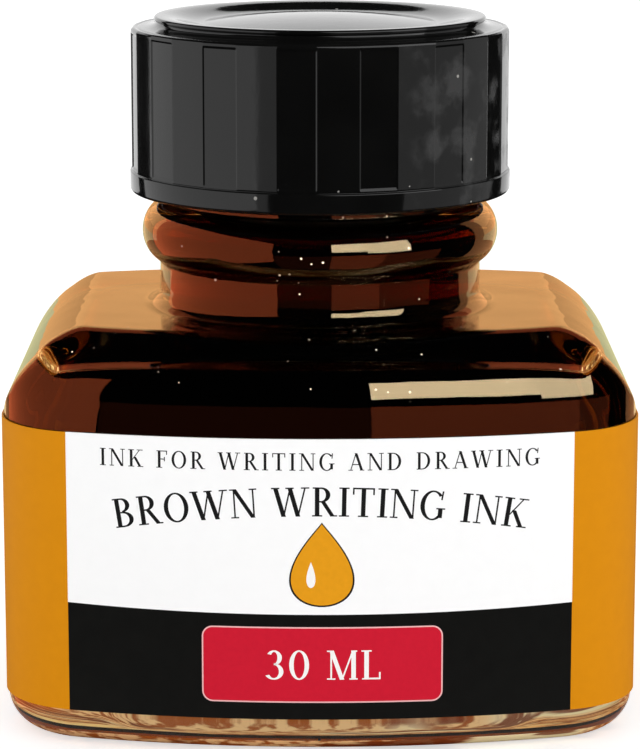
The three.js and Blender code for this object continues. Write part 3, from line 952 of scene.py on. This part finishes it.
def black_plastic():
    """Glossy black moulding with fine scuffs and a few specks of dust; the grip's right side has blotchy
    handling smears, rougher and painted lighter grey as a painted sheen.
    """
    material, tree, shader = principled("cap_black")
    math_node, times, mix, ramp = node_kit(tree)
    coords, place = place_on(tree)
    dust = specks(tree, coords, 1.4, 0.25)
    colour = mix(noise(tree, coords, 5.0), (0.002, 0.002, 0.002, 1), (0.005, 0.005, 0.0048, 1))
    # Handling smears on the grip's right side only: their blotchy roughness is real, their lighter grey is
    # painted sheen on the side the light falls on.
    haze_and_painted_sheen = ramp(noise(tree, coords, 3.0, 6.0), 0.46, 0.64)
    on_grip = math_node("LESS_THAN", place["Z"], FACET_TOP * MM)
    haze_and_painted_sheen = times(haze_and_painted_sheen, times(ramp(place["X"], 6 * MM, 9 * MM), on_grip))
    colour = mix(haze_and_painted_sheen, colour, (0.03, 0.03, 0.03, 1))
    colour = mix(dust, colour, (0.3, 0.29, 0.27, 1))
    tree.links.new(colour, shader.inputs["Base Color"])
    scuffs = times(noise(tree, coords, 0.6, 6.0, (1, 1, 0.25)), 0.06)
    rough = math_node("ADD", 0.05, math_node("ADD", times(haze_and_painted_sheen, 0.2), scuffs))
    tree.links.new(math_node("ADD", rough, times(dust, 0.5)), shader.inputs["Roughness"])
    ripple = times(noise(tree, coords, 2.0, 3.0, (1, 1, 0.3)), 0.01)
    bump(tree, shader, math_node("ADD", ripple, times(dust, 0.02)), 1.0)
    return material


def label_print():
    """Paper with its printed fields: white front panel, amber sides and back, black band."""
    material, tree, shader = principled("label_print")
    math_node, times, mix, _ = node_kit(tree)
    coords, place = place_on(tree)
    panel = math_node("LESS_THAN", math_node("ABSOLUTE", place["X"]), PANEL_HALF * MM)
    panel = times(panel, math_node("LESS_THAN", place["Y"], 0.0))
    square = math_node("POWER", math_node("ABSOLUTE", place["X"]), 2.0)
    curve = times(square, BAND_CURVE / MM)
    band = math_node("LESS_THAN", math_node("SUBTRACT", place["Z"], curve), BAND_TOP * MM)
    mottle = noise(tree, coords, 1.2, 5.0)
    white = mix(mottle, (0.95, 0.95, 0.95, 1), (0.98, 0.98, 0.98, 1))
    black = mix(mottle, (0.003, 0.003, 0.0025, 1), (0.006, 0.006, 0.005, 1))
    amber = mix(mottle, (0.65, 0.235, 0.0, 1), (0.71, 0.265, 0.0, 1))
    tree.links.new(mix(panel, amber, mix(band, white, black)), shader.inputs["Base Color"])
    shader.inputs["Roughness"].default_value = 0.6
    shader.inputs["Specular IOR Level"].default_value = 0.12
    bump(tree, shader, noise(tree, coords, 0.25, 4.0), 0.006)
    return material


def print_ink(name, colour):
    """Printing ink on the paper: one colour with the faint unevenness of a press."""
    material, tree, shader = principled(name)
    _, _, mix, _ = node_kit(tree)
    coords, _ = place_on(tree)
    mottle = noise(tree, coords, 0.5, 4.0)
    lighter = tuple(min(1.0, c * 1.15 + 0.002) for c in colour)
    tree.links.new(mix(mottle, (*colour, 1), (*lighter, 1)), shader.inputs["Base Color"])
    shader.inputs["Roughness"].default_value = 0.55
    shader.inputs["Specular IOR Level"].default_value = 0.12
    return material


def fibre_board():
    """Greyish brown pulp board with fibres."""
    material, tree, shader = principled("liner_board")
    _, times, mix, _ = node_kit(tree)
    coords, _ = place_on(tree)
    fibres = noise(tree, coords, 0.5, 6.0, (1, 0.2, 1))
    blotches = noise(tree, coords, 2.5, 3.0)
    colour = mix(fibres, (0.36, 0.27, 0.16, 1), (0.58, 0.47, 0.31, 1))
    colour = mix(times(blotches, 0.4), colour, (0.3, 0.22, 0.13, 1))
    tree.links.new(colour, shader.inputs["Base Color"])
    shader.inputs["Roughness"].default_value = 0.9
    bump(tree, shader, fibres, 0.04)
    return material


def liner_plastic():
    """White film with the ring that the glass rim has pressed into it."""
    material, tree, shader = principled("liner_film")
    math_node, times, mix, ramp = node_kit(tree)
    coords, place = place_on(tree)
    squares = math_node("ADD", math_node("POWER", place["X"], 2.0), math_node("POWER", place["Y"], 2.0))
    across = math_node("SQRT", squares)
    off_rim = math_node("ABSOLUTE", math_node("SUBTRACT", across, (BORE_RADIUS + FINISH_RADIUS) / 2 * MM))
    pressed = math_node("SUBTRACT", 1.0, ramp(off_rim, 0.4 * MM, 1.2 * MM))
    colour = mix(noise(tree, coords, 3.0, 3.0), (0.84, 0.84, 0.81, 1), (0.9, 0.9, 0.87, 1))
    colour = mix(times(pressed, 0.25), colour, (0.7, 0.6, 0.45, 1))
    tree.links.new(colour, shader.inputs["Base Color"])
    shader.inputs["Roughness"].default_value = 0.35
    grain = times(noise(tree, coords, 0.8, 3.0), 0.1)
    bump(tree, shader, math_node("SUBTRACT", grain, times(pressed, 0.3)), 0.1)
    return material


glass = bottle_glass(clear_glass(), wetted_wall(), stippled_base_painted_light())
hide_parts("glass_bottle")
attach(glass, "bottle")

liquid = ink_body(ink_liquid("amber_ink", 1.0), ink_liquid("amber_ink_surface", INK_IOR))
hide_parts("ink")
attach(liquid, "bottle")

paper = label_sheet(label_print())
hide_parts("wrap_label")
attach(paper, "bottle")

PLAQUE = {"width": 20.0, "height": 6.5, "corner": 0.9, "middle": 0.2, "centre_z": 8.0}
RED = (0.56, 0.006, 0.025)
DROP = {"width": 4.8, "height": 6.9, "middle": 0.15, "low": 13.1}
lettering = line_of_text("INK FOR WRITING AND DRAWING", 1.45, 36.6, 0.0, 24.5)
lettering += line_of_text("BROWN WRITING INK", 2.45, 34.1, 0.0, 20.65, arch=101.0)
lettering += drop_shape(**DROP, grow=0.14)
print_pieces = [
    printed("label_print_black", lettering, 0.006, print_ink("print_black", (0.008, 0.008, 0.008))),
    printed("label_print_rim", [plaque(**PLAQUE)], 0.006, print_ink("print_rim", (0.8, 0.45, 0.45))),
    printed("label_print_red", [plaque(**PLAQUE, grow=-0.12)], 0.012, print_ink("print_red", RED)),
    printed("label_print_amber", drop_shape(**DROP), 0.012, print_ink("print_amber", (0.72, 0.3, 0.005))),
    printed(
        "label_print_white",
        line_of_text("30 ML", 2.5, 9.8, 0.2, 6.75) + drop_shape(0.7, 2.2, -0.75, 14.6, strips=2),
        0.018,
        print_ink("print_white", (0.88, 0.86, 0.84)),
    ),
]
for piece in print_pieces:
    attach(piece, "bottle")

cap = cap_skin(black_plastic())
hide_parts("cap_shell")
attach(cap, "cap")

backing = liner_disc("liner_board", BACKING_LOW, BACKING_HIGH, 0.2, fibre_board())
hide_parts("liner_backing")
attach(backing, "liner")

facing = liner_disc("liner_film", FACING_LOW, FACING_HIGH, 0.12, liner_plastic())
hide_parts("liner_facing")
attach(facing, "liner")


# Studio.


def soft_light(name, azimuth, elevation, distance, width, height, radiance, colour, receivers):
    """A rectangular soft box that faces the bottle. Azimuth 0 is at the camera, positive right."""
    light = bpy.data.lights.new(name, "AREA")
    light.shape = "RECTANGLE"
    light.size, light.size_y = width * MM, height * MM
    light.energy = radiance * math.pi * light.size * light.size_y
    light.color = colour
    obj = bpy.data.objects.new(name, light)
    a, e = math.radians(azimuth), math.radians(elevation)
    towards = Vector((math.sin(a) * math.cos(e), -math.cos(a) * math.cos(e), math.sin(e)))
    centre = Vector((0, 0, 38 * MM))
    obj.location = centre + towards * distance * MM
    obj.rotation_euler = (-towards).to_track_quat("-Z", "Y").to_euler()
    bpy.context.scene.collection.objects.link(obj)
    return only_lights(obj, receivers)


def card(name, azimuths, elevations, radiance, colour, receivers, distance=600):
    """An upright glowing card that fills a range of directions, in degrees, seen from the bottle."""
    left, right = azimuths
    low, high = (distance * math.tan(math.radians(e)) for e in elevations)
    width = 2 * distance * math.tan(math.radians((right - left) / 2))
    obj = soft_light(name, (left + right) / 2, 0, distance, width, high - low, radiance, colour, receivers)
    obj.location.z += (low + high) / 2 * MM
    obj.visible_transmission = False
    return obj


def only_lights(light, receivers):
    """The light reaches these pieces and nothing else."""
    group = bpy.data.collections.new("lit_by_" + light.name)
    for piece in receivers:
        group.objects.link(piece)
    light.light_linking.receiver_collection = group
    return light


def studio_world():
    """A dark room for reflections, and a white wall behind for what is seen through the glass."""
    world = bpy.data.worlds.new("studio")
    world.use_nodes = True
    tree = world.node_tree
    _, _, mix, ramp = node_kit(tree)
    background = tree.nodes["Background"]
    coords = tree.nodes.new("ShaderNodeTexCoord")
    split = tree.nodes.new("ShaderNodeSeparateXYZ")
    tree.links.new(coords.outputs["Generated"], split.inputs[0])
    path = tree.nodes.new("ShaderNodeLightPath")
    behind = ramp(split.outputs["Y"], 0.1, 0.5)
    seen_in_gloss = (0.006, 0.006, 0.006, 1)
    seen_through = mix(behind, (0.1, 0.1, 0.1, 1), (1, 1, 1, 1))
    ambient = (0.64, 0.64, 0.64, 1)
    colour = mix(path.outputs["Is Transmission Ray"], ambient, seen_through)
    colour = mix(path.outputs["Is Glossy Ray"], colour, seen_in_gloss)
    colour = mix(path.outputs["Is Camera Ray"], colour, (1, 1, 1, 1))
    tree.links.new(colour, background.inputs["Color"])
    bpy.context.scene.world = world


FLOOR_Z = -0.02 * MM  # a hair below the bottle, so that light can pass between


def studio_floor():
    """A plain pale floor. Reflections pass through it, except beneath the bottle. Seen through the glass,
    it is painted dark in front of the bottle and glows beneath it as painted light.
    """
    material, tree, shader = principled("floor")
    math_node, times, mix, ramp = node_kit(tree)
    path = tree.nodes.new("ShaderNodeLightPath")
    place = tree.nodes.new("ShaderNodeNewGeometry")
    split = tree.nodes.new("ShaderNodeSeparateXYZ")
    tree.links.new(place.outputs["Position"], split.inputs[0])
    in_front = ramp(split.outputs["Y"], 0.0, -40 * MM)
    sideways, lengthways = (math_node("ABSOLUTE", split.outputs[axis]) for axis in "XY")
    across = math_node("MAXIMUM", sideways, lengthways)
    beneath = math_node("SUBTRACT", 1.0, ramp(across, 24 * MM, 32 * MM))
    beyond = math_node("SUBTRACT", 1.0, beneath)
    through = path.outputs["Is Transmission Ray"]
    # Painted shade: seen through the glass, the floor in front of the bottle is made dark.
    dark = times(through, times(in_front, beyond))
    colour = mix(dark, (0.9, 0.9, 0.9, 1), (0.01, 0.01, 0.01, 1))
    tree.links.new(colour, shader.inputs["Base Color"])
    shader.inputs["Roughness"].default_value = 0.9
    shader.inputs["Specular IOR Level"].default_value = 0.0
    shader.inputs["Emission Color"].default_value = (1, 1, 1, 1)
    lift = times(path.outputs["Is Camera Ray"], 0.6)
    # Painted light: the floor glows beneath the bottle, for light seen through the glass only.
    painted_glow_beneath = times(times(through, beneath), 1.25)
    tree.links.new(math_node("ADD", lift, painted_glow_beneath), shader.inputs["Emission Strength"])
    see_past = tree.nodes.new("ShaderNodeMixShader")
    tree.links.new(times(path.outputs["Is Glossy Ray"], beyond), see_past.inputs[0])
    tree.links.new(shader.outputs[0], see_past.inputs[1])
    tree.links.new(tree.nodes.new("ShaderNodeBsdfTransparent").outputs[0], see_past.inputs[2])
    tree.links.new(see_past.outputs[0], tree.nodes["Material Output"].inputs["Surface"])
    mesh = bpy.data.meshes.new("floor")
    corners = ((-3, -3), (3, -3), (3, 3), (-3, 3))
    mesh.from_pydata([(x, y, FLOOR_Z) for x, y in corners], [], [(0, 1, 2, 3)])
    floor = bpy.data.objects.new("floor", mesh)
    floor.data.materials.append(material)
    bpy.context.scene.collection.objects.link(floor)


CREAM = (1.0, 0.76, 0.44)
BROWN = (1.0, 0.2, 0.07)
TAN = (1.0, 0.5, 0.18)
ORANGE = (1.0, 0.42, 0.16)
STRAW = (1.0, 0.95, 0.5)
WHITE = (1.0, 1.0, 1.0)
wet = (glass, liquid)
dry = (cap, paper, backing, facing, *print_pieces)
on_glass = {
    "key": ((8, 30), (3, 27), 14.5, CREAM),
    "key_right": ((30, 60), (-3, 27), 13.0, CREAM),
    "brown": ((-136, -31), (-38, 36), 2.3, BROWN),
    "left_edge": ((-164, -136), (-30, 30), 0.8, ORANGE),
    "right_edge": ((118, 164), (-30, 30), 0.9, ORANGE),
    "table": ((8, 42), (-50, -8), 1.2, BROWN),
    "table_right": ((42, 84), (-50, -8), 0.5, BROWN),
    "table_left": ((-31, 8), (-50, -9), 0.15, BROWN),
    "sweep_low": ((130, 230), (-14, -5), 0.7, STRAW),
    "sweep_middle": ((130, 230), (-5, 6), 1.1, TAN),
    "sweep": ((130, 230), (6, 30), 1.6, TAN),
    "sweep_high": ((130, 230), (30, 52), 0.9, BROWN),
}
for name, (azimuths, elevations, radiance, colour) in on_glass.items():
    card(name + "_on_glass", azimuths, elevations, radiance, colour, wet)
soft_light("key_on_cap", 44, 30, 600, 800, 460, 1.6, WHITE, dry)
card("card_on_cap", (-130, -38), (-20, 40), 0.95, WHITE, dry, 250)
card("card_end_on_cap", (-38, -30), (-20, 40), 0.45, WHITE, dry, 250)
card("side_card_on_cap", (50, 122), (-20, 40), 0.42, WHITE, dry, 250)
card("sweep_on_cap", (140, 220), (-12, 26), 1.15, WHITE, dry, 400)
soft_light("fill_on_label", 0, 20, 600, 800, 460, 0.42, WHITE, (paper, *print_pieces))
studio_world()
studio_floor()

# Camera, at the photograph's angle.
CAMERA_DISTANCE = 285.3
CAMERA_HEIGHT = 86.4
CAMERA_PITCH = 11.54
FOCAL_PIXELS = 3318.0
IMAGE_HEIGHT = 749  # the longer side, which the sensor spans
SENSOR = 36.0
camera_data = bpy.data.cameras.new("camera")
camera_data.sensor_width = SENSOR
camera_data.lens = SENSOR * FOCAL_PIXELS / IMAGE_HEIGHT
camera_data.clip_start = 0.01
camera_data.clip_end = 100.0
camera = bpy.data.objects.new("camera", camera_data)
camera.location = (0, -CAMERA_DISTANCE * MM, CAMERA_HEIGHT * MM)
camera.rotation_euler = (math.radians(90 - CAMERA_PITCH), 0, 0)
bpy.context.scene.collection.objects.link(camera)
bpy.context.scene.camera = camera

bpy.context.scene.view_settings.view_transform = "Standard"
